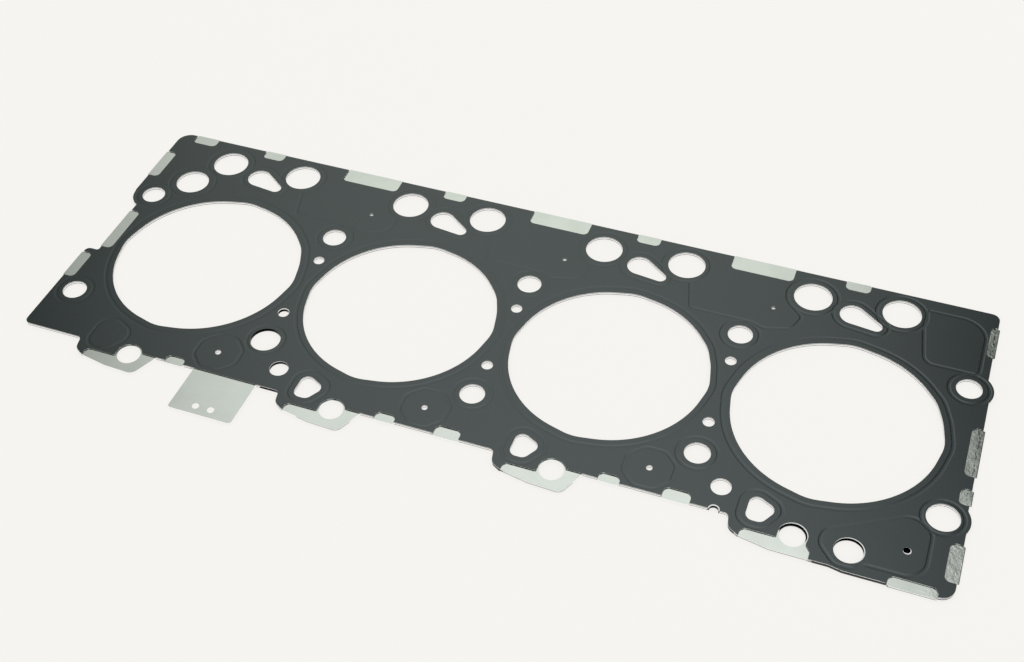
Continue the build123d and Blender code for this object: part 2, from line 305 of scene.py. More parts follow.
# %% [markdown]
# ## Lines
# Every outline here is made of straight runs and arcs.  Curve objects could draw them,
# but the cutting step takes plain points, so each helper gives those, close enough
# together that the chord never leaves the arc by more than a hundredth of a millimetre
# or two.

# %% Arcs and circles
chord_error = 0.015
longest_run = 6.0


def arc(centre, radius, start, sweep):
    """Points along an arc, with angles in degrees and both ends included."""
    step = math.degrees(math.sqrt(8 * chord_error / max(radius, 0.5)))
    count = max(2, math.ceil(abs(sweep) / step))
    angles = [math.radians(start + sweep * k / count) for k in range(count + 1)]
    return [(centre[0] + radius * math.cos(a), centre[1] + radius * math.sin(a)) for a in angles]


def circle(centre, radius):
    """A closed ring of points round a place."""
    return arc(centre, radius, 0.0, 360.0)[:-1]


print("a bolt hole is a ring of", len(circle((0.0, 0.0), 6.65)), "points")


# %% Paths through corners
def rounded(corners, close=True):
    """A path through corners (x, y, rounding), as points."""
    points = []
    count = len(corners)
    for k, (x, y, radius) in enumerate(corners):
        inner = close or 0 < k < count - 1
        here = Vector((x, y))
        before = (Vector(corners[k - 1][:2]) - here).normalized()
        after = (Vector(corners[(k + 1) % count][:2]) - here).normalized()
        half = math.acos(max(-1.0, min(1.0, before.dot(after)))) / 2
        if not inner or radius == 0.0 or half > math.radians(89.5):
            points.append((x, y))
            continue
        centre = here + (before + after).normalized() * (radius / math.sin(half))
        start = here + before * (radius / math.tan(half)) - centre
        end = here + after * (radius / math.tan(half)) - centre
        first = math.degrees(math.atan2(start.y, start.x))
        turn = math.degrees(math.atan2(start.x * end.y - start.y * end.x, start.dot(end)))
        points += arc(centre, radius, first, turn)
    return points


def rounded_box(left, right, low, high, radius):
    """A rounded rectangle from its four sides."""
    corners = [(left, low), (right, low), (right, high), (left, high)]
    return rounded([(x, y, radius) for x, y in corners])


def split_runs(points, close=True):
    """The same path with its long straight runs divided."""
    divided = []
    ends = points[1:] + points[:1] if close else points[1:]
    for (x0, y0), (x1, y1) in zip(points, ends):
        count = max(1, math.ceil(math.hypot(x1 - x0, y1 - y0) / longest_run))
        divided += [(x0 + (x1 - x0) * k / count, y0 + (y1 - y0) * k / count) for k in range(count)]
    return divided if close else divided + [points[-1]]


print("a box of 10 mm is a ring of", len(rounded_box(0.0, 10.0, 0.0, 10.0, 1.0)), "points")


# %% Places beside a bore
def on_ring(centre, radius, angle):
    """The point at an angle, in degrees, on a ring."""
    turn = math.radians(angle)
    return (centre[0] + radius * math.cos(turn), centre[1] + radius * math.sin(turn))


def at(bore_x, corners):
    """Rounded corners measured from a bore, put in their place."""
    return [(bore_x + x, y, radius) for x, y, radius in corners]


print("a corner at the last bore:", at(last_x, [(10.0, 0.0, 1.0)])[0])


# %% [markdown]
# ## Bores and passages
# The four big openings stand over the cylinders.  They are not quite round: where the
# beads of two bores would meet, and above and below, two tangents run on to a low
# rounded corner.  Round them lie the holes for bolts, dowels, pushrods, oil and coolant.
# They could be cut one after another with Booleans.  Here each is a closed ring of
# points in one list, which serves all three sheets, so the holes line up by themselves.

# %% Bores
bore_radius = 53.1
bore_corners = [(0.0, 12.0), (31.0, 9.0), (91.0, 12.0), (179.0, 12.0), (267.0, 12.0)]
bore_corner_round = 24.0


def cornered_circle(bore_x, radius):
    """A circle whose corners stand out where two tangents meet."""
    centre = (bore_x, 0.0)
    following = bore_corners[1:] + [(bore_corners[0][0] + 360.0, bore_corners[0][1])]
    points = []
    for (angle, half), (next_angle, next_half) in zip(bore_corners, following):
        start = angle + half
        stop = next_angle - next_half
        reach = radius / math.cos(math.radians(next_half))
        points += arc(centre, radius, start, stop - start)[:-1]
        corner = [(*on_ring(centre, radius, stop), 0.0)]
        corner += [(*on_ring(centre, reach, next_angle), bore_corner_round)]
        corner += [(*on_ring(centre, radius, next_angle + next_half), 0.0)]
        points += rounded(corner, close=False)[:-1]
    return points


print("a bore is a ring of", len(cornered_circle(0.0, bore_radius)), "points")

# %% Drain holes
drain_wide, drain_wide_radius = (-6.4, 76.7), 7.0
drain_narrow, drain_narrow_radius = (7.0, 71.4), 3.4


def drain(bore_x, gap):
    """Two circles of the drain hole and their outer tangents."""
    (wide_x, wide_y), (narrow_x, narrow_y) = drain_wide, drain_narrow
    run_x, run_y = narrow_x - wide_x, narrow_y - wide_y
    wide_radius, narrow_radius = drain_wide_radius + gap, drain_narrow_radius + gap
    along = math.degrees(math.atan2(run_y, run_x))
    turn = math.degrees(math.acos((wide_radius - narrow_radius) / math.hypot(run_x, run_y)))
    points = arc((bore_x + wide_x, wide_y), wide_radius, along + turn, 360.0 - 2 * turn)
    return points + arc((bore_x + narrow_x, narrow_y), narrow_radius, along - turn, 2 * turn)


print("a drain hole is a ring of", len(drain(0.0, 0.0)), "points")

# %% Side passages
side_passage = [(-14.4, -65.6), (-20.2, -75.5), (-28.7, -75.5), (-28.7, -58.5)]
side_passage_round = 4.0


def grown(corners, gap):
    """Corners of a convex outline moved outwards by a gap (they run clockwise)."""
    moved = []
    for k, corner in enumerate(corners):
        here = Vector(corner)
        before = (here - Vector(corners[k - 1])).normalized()
        after = (Vector(corners[(k + 1) % len(corners)]) - here).normalized()
        normals = [Vector((-side.y, side.x)) for side in (before, after)]
        lean = (normals[0] + normals[1]).normalized()
        moved.append(here + lean * (gap / lean.dot(normals[0])))
    return moved


def side_passage_ring(bore_x, gap):
    """The four-sided passage beside a front lobe."""
    corners = grown(side_passage, gap)
    return rounded([(bore_x + x, y, side_passage_round + gap) for x, y in corners])


print("a side passage is a ring of", len(side_passage_ring(0.0, 0.0)), "points")

# %% Holes through the stack
holes = [cornered_circle(x, bore_radius) for x in bore_xs]
holes += [drain(x, 0.0) for x in bore_xs]
holes += [side_passage_ring(x, 0.0) for x in bore_xs[1:]]
for places, radius in (
    (rear_bolts + front_bolts, 6.65),
    (dowels, 8.15),
    (web_holes, 3.05),
    (pushrods_a + pushrods_b, 10.4),
    (jet_holes, 1.6),
    (oil_holes, 5.1),
    ([rear_hole], 9.7),
    ([front_hole], 7.1),
    ([edge_notch], 2.4),
):
    holes += [circle(place, radius) for place in places]
print(len(holes), "holes go through all three sheets")

# %% [markdown]
# ## Outline of the plate
# One walk round the plate, from the rear left corner past the four front lobes.  It
# could be joined from simpler shapes, but one list of corners, with a rounding at each,
# reads like the drawing and leaves no slivers.  The coated sheets lose the lobes and
# the windows along the edge; the spacer keeps both, and its tongues stand a millimetre
# proud there.

# %% Outline of the plate
rear_edge, front_edge, deep_edge = 101.4, -75.3, -90.0
left_edge, left_waist, waist_foot = first_x - 72.8, first_x - 65.3, -11.2
right_edge, right_waist, right_neck = last_x + 71.5, last_x + 70.6, last_x + 68.5

plate_corners = [
    (left_edge, rear_edge, 8.0),
    (left_edge, bolt_rear_y, 0.0),
    (left_waist, bolt_rear_y, 0.0),
    (left_waist, waist_foot, 1.5),
    (left_edge, waist_foot, 3.0),
    (left_edge, front_edge, 3.5),
]
for x in bore_xs:
    plate_corners += at(x, [(-36.3, front_edge, 2.5), (-34.6, -82.9, 5.0), (-29.5, -85.9, 5.0)])
    plate_corners += at(x, [(-13.5, -88.8, 12.0)])
    if x != last_x:
        plate_corners += at(x, [(4.0, -89.6, 4.5), (10.2, front_edge, 1.0)])
plate_corners += at(last_x, [(14.5, -88.8, 5.0), (21.0, deep_edge, 5.0)])
plate_corners += [
    (right_edge, deep_edge, 7.0),
    (right_edge, bolt_front_y, 0.0),
    (right_waist, bolt_front_y, 0.0),
    (right_waist, bolt_rear_y, 0.0),
    (right_neck, bolt_rear_y, 0.0),
    (right_neck, rear_edge, 4.5),
]
bolt_ear, dowel_ear = 12.4, 13.0  # how far the ends bulge round their outermost holes
plate = [rounded(plate_corners), circle(dowels[-1], dowel_ear)]
plate += [circle(rear_bolts[0], bolt_ear), circle(rear_bolts[-1], bolt_ear)]
print(len(plate_corners), "corners and", len(plate) - 1, "ears")

# %% Windows along the edge
rear_windows = [(first_x, -62.9, -47.4, 95.0)]
rear_windows += [(x, -14.4, -0.8, 95.4) for x in bore_xs]
rear_windows += [(x, 42.0, 77.3, 91.4) for x in leading_bores]
front_windows = [(15.8, 26.8, -71.2), (138.1, 149.1, -71.2), (258.1, 269.1, -71.2)]
front_windows += [(170.8, 184.6, -69.6), (290.6, 304.5, -69.6)]
deep_window = (41.5, 64.4, -85.3)
window_reach = 1.0  # how far the spacer's tongues stand proud
left_windows = [(58.3, 82.2, -66.7, left_edge), (-35.4, -14.8, -66.8, left_edge)]
left_windows += [(-7.6, 25.8, -59.3, left_waist)]
right_windows = [(-80.0, -57.4, 65.6, right_edge), (68.2, 91.0, 65.0, right_neck)]
right_windows += [(-33.4, -23.4, 65.3, right_waist), (-15.0, 16.8, 65.3, right_waist)]


def window_boxes(reach, radius):
    """The windows along the edge, drawn out past it by a reach."""
    boxes = [(x + a, x + b, inner, rear_edge + reach) for x, a, b, inner in rear_windows]
    boxes += [(first_x + a, first_x + b, front_edge - reach, y) for a, b, y in front_windows]
    deep_left, deep_right, deep_inner = deep_window
    boxes += [(last_x + deep_left, last_x + deep_right, deep_edge - reach, deep_inner)]
    boxes += [(edge - reach, first_x + inner, a, b) for a, b, inner, edge in left_windows]
    boxes += [(last_x + inner, edge + reach, a, b) for a, b, inner, edge in right_windows]
    return [rounded_box(*box, radius) for box in boxes]


print(len(window_boxes(0.0, 0.9)), "windows")

# %% Windows of the lobes
lobe_window_edge, lobe_notch_radius = -81.1, 7.0
below_lobe = -103.5
lobe_windows = []
for x, (bolt_x, bolt_y) in zip(bore_xs, lobe_bolts):
    near_x, far_x = bolt_x - lobe_notch_radius, bolt_x + lobe_notch_radius
    corners = [(near_x, bolt_y, 0.0), (near_x, lobe_window_edge, 0.8)]
    corners += at(x, [(-28.9, lobe_window_edge, 3.0), (-28.9, below_lobe, 0.0)])
    if x == last_x:
        corners += at(x, [(4.8, below_lobe, 0.0), (4.8, -84.6, 1.5)])
        corners += [(far_x, lobe_window_edge, 1.5), (far_x, bolt_y, 0.0)]
    else:
        corners += at(x, [(14.0, below_lobe, 0.0), (14.0, front_edge, 0.0)])
        corners += [(bolt_x, front_edge, 0.0), (bolt_x, bolt_y, 0.0)]
    lobe_windows.append(rounded(corners))
print(len(lobe_windows), "lobe windows")

# %% Cuts and the tab
vent_radius, pin_radius, lobe_bolt_radius = 1.2, 1.7, 6.3
tab_hole_radius, tab_hole_y = 1.9, -98.5
spacer_front_radius = 8.6  # wider than in the coated sheets

coated_cuts = window_boxes(6.0, 3.0) + lobe_windows
coated_cuts += [circle(place, lobe_notch_radius) for place in lobe_bolts]
coated_cuts += [circle(place, vent_radius) for place in vent_holes]

tab = rounded_box(first_x + 33.4, first_x + 70.3, below_lobe, front_edge + 3.6, 1.8)
spacer_plate = plate + window_boxes(window_reach, 0.9) + [tab]
spacer_cuts = [circle((first_x + x, tab_hole_y), tab_hole_radius) for x in (47.5, 56.3)]
spacer_cuts += [circle(place, lobe_bolt_radius) for place in lobe_bolts]
spacer_cuts += [circle(pin_hole, pin_radius), circle(front_hole, spacer_front_radius)]
print(len(coated_cuts), "cuts in a coated sheet,", len(spacer_cuts), "more in the spacer")

# %% [markdown]
# ## Beads
# A bead is a narrow groove pressed into a thin sheet along a line, and its crown seals
# against the spacer.  It could be swept along each line and joined to the sheet, but
# every crossing would then need a Boolean.  So only its middle line is drawn here.  The
# mesh gets lines to either side of it, and each point of the sheet is pressed by its
# distance to the nearest middle line, so crossings blend by themselves.

# %% Middle lines of the beads
pushrod_ring_a, pushrod_ring_b = 14.0, 13.5
closed_beads = []
for x in bore_xs:
    closed_beads += [cornered_circle(x, bore_radius + 4.1), drain(x, 3.5), side_passage_ring(x, 4.0)]
for places, radius in (
    (pushrods_a, pushrod_ring_a),
    (pushrods_b, pushrod_ring_b),
    (rear_bolts + front_bolts + dowels, 10.3),
    ([rear_hole], 14.0),
):
    closed_beads += [circle(place, radius) for place in places]

jet_sides, jet_across = 8, 25.0
for place in jet_holes:
    turn = 360.0 / jet_sides
    reach = jet_across / 2 / math.cos(math.radians(turn / 2))
    corners = [(*on_ring(place, reach, turn * (k + 0.5)), 6.0) for k in range(jet_sides)]
    closed_beads.append(rounded(corners))

end_gallery = [(31.4, 93.1, 1.5), (31.0, 80.0, 9.0), (35.2, 53.7, 6.0), (63.5, 53.7, 3.0)]
end_gallery += [(63.5, 93.1, 14.0)]
oil_ring = [(46.5, -47.5, 9.0), (57.2, -53.8, 9.0), (57.2, -83.2, 10.0), (30.0, -83.2, 5.0)]
oil_ring += [(25.5, -87.3, 5.0), (16.5, -87.3, 6.0), (7.4, -77.5, 8.0), (8.6, -69.6, 6.0)]
closed_beads += [rounded(at(last_x, end_gallery)), rounded(at(last_x, oil_ring))]

gallery = [(24.8, 70.0, 8.0), (29.2, 53.8, 2.5), (64.0, 53.8, 4.0), (70.0, 51.0, 8.0)]
gallery += [(85.0, 55.6, 6.0), (88.6, 66.0, 4.0)]
open_beads = []
for x, place_b, place_a in zip(leading_bores, pushrods_b, pushrods_a[1:]):
    start = on_ring(place_b, pushrod_ring_b, -66.0)
    end = on_ring(place_a, pushrod_ring_a, -130.0)
    open_beads.append(rounded([(*start, 0.0), *at(x, gallery), (*end, 0.0)], close=False))

closed_beads = [split_runs(path) for path in closed_beads]
open_beads = [split_runs(path, close=False) for path in open_beads]
print(len(closed_beads), "closed beads and", len(open_beads), "open ones")

# %% Height of the sheet over a bead
segments = []
for path in closed_beads:
    segments += list(zip(path, path[1:] + path[:1]))
for path in open_beads:
    segments += list(zip(path, path[1:]))
segment_ends = np.array(segments)


def bead_lift(points):
    """Height of the pressed sheet over its plane, and its slope in x and y, at plan points."""
    lift, slope = np.zeros(len(points)), np.zeros((len(points), 2))
    a, run = segment_ends[:, 0], segment_ends[:, 1] - segment_ends[:, 0]
    length2 = (run**2).sum(1)
    nearest = np.full(len(points), np.inf)
    foot = np.zeros((len(points), 2))
    for start in range(0, len(points), 1000):
        some = points[start : start + 1000]
        off = some[:, None] - a[None]
        along = np.clip((off * run).sum(2) / length2, 0.0, 1.0)
        gap = off - along[..., None] * run
        distance = np.hypot(gap[..., 0], gap[..., 1])
        best = distance.argmin(1)
        rows = np.arange(len(some))
        nearest[start : start + 1000] = distance[rows, best]
        foot[start : start + 1000] = gap[rows, best]
    on_bead = nearest < bead_foot
    t = np.clip((nearest[on_bead] - bead_crown) / (bead_foot - bead_crown), 0.0, 1.0)
    lift[on_bead] = bead_height * 0.5 * (1 + np.cos(math.pi * t))
    steep = -bead_height * 0.5 * math.pi / (bead_foot - bead_crown) * np.sin(math.pi * t)
    steep[t <= 0.0] = 0.0
    away = foot[on_bead] / np.maximum(nearest[on_bead], 1e-6)[:, None]
    slope[on_bead] = away * steep[:, None]
    return lift, slope


print(len(segments), "bead segments")

# %% [markdown]
# ## Cutting a sheet
# All outlines, holes and bead lines go into one constrained Delaunay triangulation.  It
# finds every crossing and says, for each triangle, which outlines it lies in, so the
# sheet is simply the triangles inside a plate and outside every cut.  Booleans with as
# many cutters would take longer and leave thin faces.

# %% Triangulate
bead_offsets = (0.35, 0.65, 0.95, 1.25)  # lines of points to each side of a bead
print("points across a bead:", 2 * len(bead_offsets))


def offset_path(path, gap, close):
    """A path moved sideways."""
    points = np.array(path)
    if close:
        ahead, behind = np.roll(points, -1, 0), np.roll(points, 1, 0)
    else:
        ahead = np.vstack([points[1:], 2 * points[-1] - points[-2]])
        behind = np.vstack([2 * points[0] - points[1], points[:-1]])
    first, second = points - behind, ahead - points
    first /= np.hypot(*first.T)[:, None]
    second /= np.hypot(*second.T)[:, None]
    lean = first + second
    lean /= np.hypot(*lean.T)[:, None]
    normal = np.stack([-lean[:, 1], lean[:, 0]], 1)
    stretch = np.maximum((lean * first).sum(1), 0.5)
    return points + normal * (gap / stretch)[:, None]


def counterclockwise(path):
    """The ring as an array that runs anticlockwise."""
    points = np.array(path)
    x, y = points.T
    area = (x * np.roll(y, -1) - np.roll(x, -1) * y).sum()
    return points if area > 0 else points[::-1]


def triangulate(plates, cuts, beaded):
    """Plan points and triangles of a sheet."""
    points, edges, faces = [], [], []

    def take(path):
        first = len(points)
        points.extend(Vector(p) for p in path)
        return list(range(first, len(points)))

    for path in plates + cuts:
        faces.append(take(counterclockwise(split_runs(list(path)))))
    if beaded:
        for paths, close in ((closed_beads, True), (open_beads, False)):
            for path in paths:
                for gap in bead_offsets:
                    for side in (gap, -gap):
                        ids = take(offset_path(path, side, close))
                        edges += list(zip(ids, ids[1:] + ids[:1] if close else ids[1:]))
    made = delaunay_2d_cdt(points, edges, faces, 0, 1e-4, True)
    plan = np.array([tuple(p) for p in made[0]])
    kept = []
    for face, inside in zip(made[2], made[5]):
        if any(k < len(plates) for k in inside) and not any(k >= len(plates) for k in inside):
            kept.append(face)
    tris = np.array(kept)
    used, tris = np.unique(tris, return_inverse=True)
    return plan[used], tris.reshape(-1, 3)


# %% [markdown]
# ## From a flat cut to a pressed sheet
# The flat triangles are doubled: a top and a bottom skin, both raised over the beads.
# The cut edge between them is a wall with a small break at top and bottom, as a blanking
# tool leaves it.  Modifiers could thicken and bevel the sheet, but not along a cut that
# runs through a bead.  Normals are worked out from the bead's own formula, so the flats
# stay dead flat and the beads stay round.  Only a share of the slope shows, because the
# coat fills and softens the groove, and a slight lean at the left stands for its bow.

# %% Edges and normals of a sheet
edge_break = 0.045
bead_shade = [(-250.0, 0.12), (-60.0, 0.26), (250.0, 0.31)]  # place along x, share that shows
bow = [(-250.0, 0.024), (-175.0, 0.013), (-60.0, 0.003), (0.0, 0.0)]  # place along x, lean


def faced_up(plan, tris):
    """The triangles, turned where needed so that all face up."""
    a, b, c = plan[tris[:, 0]], plan[tris[:, 1]], plan[tris[:, 2]]
    turn = (b[:, 0] - a[:, 0]) * (c[:, 1] - a[:, 1]) - (b[:, 1] - a[:, 1]) * (c[:, 0] - a[:, 0])
    return np.where(turn[:, None] > 0, tris, tris[:, ::-1])


def boundary_edges(tris):
    """The directed edges that only one triangle has."""
    edges = np.vstack([tris[:, [0, 1]], tris[:, [1, 2]], tris[:, [2, 0]]])
    key = np.sort(edges, 1)
    _, back, count = np.unique(key, axis=0, return_inverse=True, return_counts=True)
    return edges[count[back.ravel()] == 1]


def outward_at(plan, rim):
    """The level direction that leads out of the sheet at each point of its rim."""
    run = plan[rim[:, 1]] - plan[rim[:, 0]]
    run /= np.maximum(np.hypot(*run.T), 1e-9)[:, None]
    out = np.column_stack([run[:, 1], -run[:, 0]])
    outward = np.zeros((len(plan), 2))
    np.add.at(outward, rim[:, 0], out)
    np.add.at(outward, rim[:, 1], out)
    return outward / np.maximum(np.hypot(*outward.T), 1e-9)[:, None]


def skin_normals(plan, slope, beaded):
    """Normals of the top skin, from the share of each slope that shows."""
    shown = np.interp(plan[:, 0], *zip(*bead_shade))
    lean = np.interp(plan[:, 0], *zip(*bow)) if beaded else 0.0
    up = np.column_stack([lean - slope[:, 0] * shown, -slope[:, 1] * shown, np.ones(len(plan))])
    return up / np.linalg.norm(up, axis=1)[:, None]


print("edges are broken by", edge_break, "mm")

# %% Build a sheet
wall_bands = ((0, 1), (1, 2), (2, 3))  # break, face and break, between four levels


def mesh_object(name, points, normals, faces, slots):
    """A smooth object in millimetres, without the points that no face uses."""
    used, index = np.unique(np.concatenate([np.array(f) for f in faces]), return_inverse=True)
    cursor, packed = 0, []
    for face in faces:
        packed.append(tuple(index[cursor : cursor + len(face)].tolist()))
        cursor += len(face)
    mesh = bpy.data.meshes.new(name)
    mesh.from_pydata((points[used] * MM).tolist(), [], packed)
    mesh.polygons.foreach_set("material_index", slots)
    mesh.polygons.foreach_set("use_smooth", [True] * len(packed))
    mesh.update()
    mesh.normals_split_custom_set_from_vertices(normals[used].tolist())
    made = bpy.data.objects.new(name, mesh)
    scene.collection.objects.link(made)
    print(name, len(used), "points,", sum(len(f) - 2 for f in packed), "triangles")
    return made


def make_sheet(name, plan, tris, low, high, beaded, flip=False):
    """A sheet between two planes, with slot 0 for the top skin, 1 for the lower, 2 for edges."""
    tris = faced_up(plan, tris)
    count = len(plan)
    lift, slope = bead_lift(plan) if beaded else (np.zeros(count), np.zeros((count, 2)))
    up = skin_normals(plan, slope, beaded)
    rim = boundary_edges(tris)
    outward = outward_at(plan, rim)

    inset = plan - outward * edge_break
    levels = [
        np.column_stack([inset, lift + high]),
        np.column_stack([plan, lift + high - edge_break]),
        np.column_stack([plan, lift + low + edge_break]),
        np.column_stack([inset, lift + low]),
    ]
    points = np.vstack(levels)
    side = np.column_stack([outward, np.zeros(count)])
    normals = np.vstack([up, side, side, -up])
    i, j = rim.T
    faces = [tuple(t) for t in tris] + [tuple(t) for t in tris[:, ::-1] + 3 * count]
    for upper, lower in wall_bands:
        faces += list(zip(i + upper * count, i + lower * count, j + lower * count, j + upper * count))
    skins = (1, 0) if flip else (0, 1)
    slots = [skins[0]] * len(tris) + [skins[1]] * len(tris) + [2] * (len(wall_bands) * len(rim))
    if flip:
        points[:, 2] = low + high - points[:, 2]
        normals[:, 2] *= -1
        faces = [face[::-1] for face in faces]
    return mesh_object(name, points, normals, faces, slots)


print("a wall has", len(wall_bands), "bands")

# %% [markdown]
# ## Shared effects
# Two node groups serve every finish.  Rolled grain is noise drawn out along the row,
# as a rolling mill leaves on sheet.  Handling marks are broad soft patches, where a
# surface has been wiped, stacked and touched.  A picture of metal could do it too, but
# noise has no seam, needs no file and takes other values in each material.

# %% Node groups
def new_group(name, inputs, outputs):
    """An empty shader group with named number sockets."""
    group = bpy.data.node_groups.new(name, "ShaderNodeTree")
    for label, value in inputs:
        socket = group.interface.new_socket(label, in_out="INPUT", socket_type="NodeSocketFloat")
        socket.default_value = value
    for label in outputs:
        group.interface.new_socket(label, in_out="OUTPUT", socket_type="NodeSocketFloat")
    return group, node(group, "NodeGroupInput"), node(group, "NodeGroupOutput")


rolled_grain, ends_in, ends_out = new_group(
    "rolled_grain", [("Fineness", 900.0), ("Stretch", 0.04)], ["Height", "Mask"]
)
place = node(rolled_grain, "ShaderNodeTexCoord")
drawn = node(rolled_grain, "ShaderNodeMapping")
scale = node(rolled_grain, "ShaderNodeCombineXYZ", Y=1.0, Z=1.0)
link(rolled_grain, ends_in.outputs["Stretch"], scale.inputs["X"])
link(rolled_grain, place.outputs["Object"], drawn.inputs["Vector"])
link(rolled_grain, scale.outputs[0], drawn.inputs["Scale"])
lines = node(rolled_grain, "ShaderNodeTexNoise", Detail=3.0, Roughness=0.6)
link(rolled_grain, drawn.outputs[0], lines.inputs["Vector"])
link(rolled_grain, ends_in.outputs["Fineness"], lines.inputs["Scale"])
mask = climb(rolled_grain, lines.outputs["Fac"], 0.35, 0.65, "SMOOTHSTEP")
link(rolled_grain, lines.outputs["Fac"], ends_out.inputs["Height"])
link(rolled_grain, mask, ends_out.inputs["Mask"])

handling_marks, ends_in, ends_out = new_group(
    "handling_marks", [("Size", 14.0), ("Bite", 0.5)], ["Mask"]
)
place = node(handling_marks, "ShaderNodeTexCoord")
cloud = node(handling_marks, "ShaderNodeTexNoise", Detail=4.0, Roughness=0.55, Distortion=0.6)
link(handling_marks, place.outputs["Object"], cloud.inputs["Vector"])
link(handling_marks, ends_in.outputs["Size"], cloud.inputs["Scale"])
patch = climb(handling_marks, cloud.outputs["Fac"], 0.3, 0.75, "SMOOTHSTEP")
bitten = calc(handling_marks, "MULTIPLY", patch, ends_in.outputs["Bite"])
link(handling_marks, bitten, ends_out.inputs["Mask"])
print("groups:", rolled_grain.name, handling_marks.name)


# %% Helpers for materials
def finish(name, metallic, specular):
    """A material with one Principled shader, and its tree."""
    material = bpy.data.materials.new(name)
    material.use_nodes = True
    shader = material.node_tree.nodes["Principled BSDF"]
    shader.inputs["Metallic"].default_value = metallic
    shader.inputs["Specular IOR Level"].default_value = specular
    return material, material.node_tree, shader


def use_group(tree, group, **values):
    """Place a shared group with its own values."""
    placed = node(tree, "ShaderNodeGroup")
    placed.node_tree = group
    for label, value in values.items():
        placed.inputs[label].default_value = value
    return placed


def between(tree, factor, low, high):
    """A colour that runs between two by a mask."""
    mix = node(tree, "ShaderNodeMix", data_type="RGBA")
    mix.inputs["A"].default_value = low
    mix.inputs["B"].default_value = high
    link(tree, factor, mix.inputs["Factor"])
    return mix.outputs["Result"]


def ranged(tree, factor, low, high):
    """A number that runs between two by a mask."""
    spread = node(tree, "ShaderNodeMapRange")
    spread.inputs["To Min"].default_value = low
    spread.inputs["To Max"].default_value = high
    link(tree, factor, spread.inputs["Value"])
    return spread.outputs[0]


def over(tree, mask, colour, below):
    """A colour laid over another where a mask is 1."""
    mix = node(tree, "ShaderNodeMix", data_type="RGBA")
    mix.inputs["B"].default_value = colour
    link(tree, mask, mix.inputs["Factor"])
    link(tree, below, mix.inputs["A"])
    return mix.outputs["Result"]


def near(tree, places):
    """A mask that is 1 within a radius of any of some places (x, y, radius) in millimetres."""
    spot = node(tree, "ShaderNodeTexCoord")
    flat = node(tree, "ShaderNodeVectorMath", operation="MULTIPLY")
    flat.inputs[1].default_value = (1.0, 1.0, 0.0)
    link(tree, spot.outputs["Object"], flat.inputs[0])
    mask = 0.0
    for x, y, radius in places:
        gap = node(tree, "ShaderNodeVectorMath", operation="DISTANCE")
        gap.inputs[1].default_value = (x * MM, y * MM, 0.0)
        link(tree, flat.outputs[0], gap.inputs[0])
        inside = calc(tree, "LESS_THAN", gap.outputs["Value"], radius * MM)
        mask = calc(tree, "MAXIMUM", mask, inside)
    return mask


def bumped(tree, shader, height, strength, distance):
    """Feed a height to the shader's normal."""
    bump = node(tree, "ShaderNodeBump", Strength=strength, Distance=distance)
    link(tree, height, bump.inputs["Height"])
    link(tree, bump.outputs["Normal"], shader.inputs["Normal"])


print("helpers:", [helper.__name__ for helper in (finish, between, ranged, over, near, bumped)])

# %% [markdown]
# ## Places with painted shade and highlights
# A few holes of the real gasket show a black crescent, a bright lip or both, where its
# sheets stand a little apart, and so do some stretches of the front edge.  The black is
# painted shade of the gap between the sheets, and the lip is a painted highlight.  Bending
# the sheets would break the flat stack, so these places are circles, each laid over the
# stretch of edge that it colours, and measured from the hole that it belongs to.

# %% Places with painted shade and highlights
def beside(place, x, y, radius):
    """A circle moved a little from a place."""
    return (place[0] + x, place[1] + y, radius)


last_lobe_bolt, first_web_hole = lobe_bolts[-1], web_holes[1]
# painted highlight: light grey crescents on the coat at one side of these holes
lip_highlights = [
    beside(pin_hole, 0.25, -0.35, 1.95),
    beside(front_hole, 0.2, 0.25, 7.35),
    beside(last_lobe_bolt, 0.2, 0.35, 7.15),
    beside(first_web_hole, -0.1, 0.35, 3.2),
    beside(edge_notch, 0.0, 0.1, 2.9),
]
# painted shade: black laid over edges and faces at these places, where the gap between the sheets
# lies in shade
dark_holes = [beside(front_hole, 0.0, 0.0, 11.0), beside(dowels[0], 0.0, 0.0, 9.5)]
dark_edges = dark_holes + [
    beside(last_lobe_bolt, 0.3, 2.2, 7.0),
    beside(first_web_hole, 0.0, 0.0, 4.5),
    beside(oil_holes[0], 0.0, 0.0, 6.5),
    beside(pin_hole, 0.0, 0.0, 4.0),
    beside(edge_notch, 0.0, 0.0, 2.9),
    (last_x + 23.5, -106.0, 24.0),  # under the front edge at the right-hand end
    (first_x + 78.5, -78.5, 6.6),  # under the front edge beside the tab
    (bore_xs[2] - 31.5, -87.0, 4.5),  # at the shoulder of the third lobe
    (last_x - 36.0, -83.5, 5.0),  # at the shoulder of the last lobe
]
dark_ledges = [beside(last_lobe_bolt, 0.3, 1.8, 6.8)]
shadow_black = (0.002, 0.002, 0.002, 1.0)
print(len(lip_highlights), "bare lips and", len(dark_edges), "dark edges")

# %% [markdown]
# ## Rubber coat
# The top sheet wears a satin grey rubber coat a few hundredths of a millimetre thick, and
# the underside a blacker one.  Such a coat has next to no colour of its own: its grey is
# the soft box, mirrored faintly and blurred.  So its base is nearly black with a cool
# tint, its gloss does the work, and handling marks change both by a little.

# %% Coated sheets
def coating(name, dark, light, rough, glinting=()):
    """Satin rubber coat on steel, with a painted highlight, light grey, at some lips."""
    material, tree, shader = finish(name, 0.0, 1.0)
    shader.inputs["Specular Tint"].default_value = (0.93, 1.0, 0.99, 1.0)
    marks = use_group(tree, handling_marks, Size=11.0, Bite=1.0)
    grain = use_group(tree, rolled_grain, Fineness=2200.0, Stretch=0.6)
    colour = between(tree, marks.outputs["Mask"], dark, light)
    if glinting:
        # painted highlight: light grey laid over the coat at the lips
        colour = over(tree, near(tree, glinting), (0.72, 0.74, 0.72, 1.0), colour)
    link(tree, colour, shader.inputs["Base Color"])
    link(tree, ranged(tree, marks.outputs["Mask"], *rough), shader.inputs["Roughness"])
    bumped(tree, shader, grain.outputs["Height"], 0.12, 0.00004)
    return material


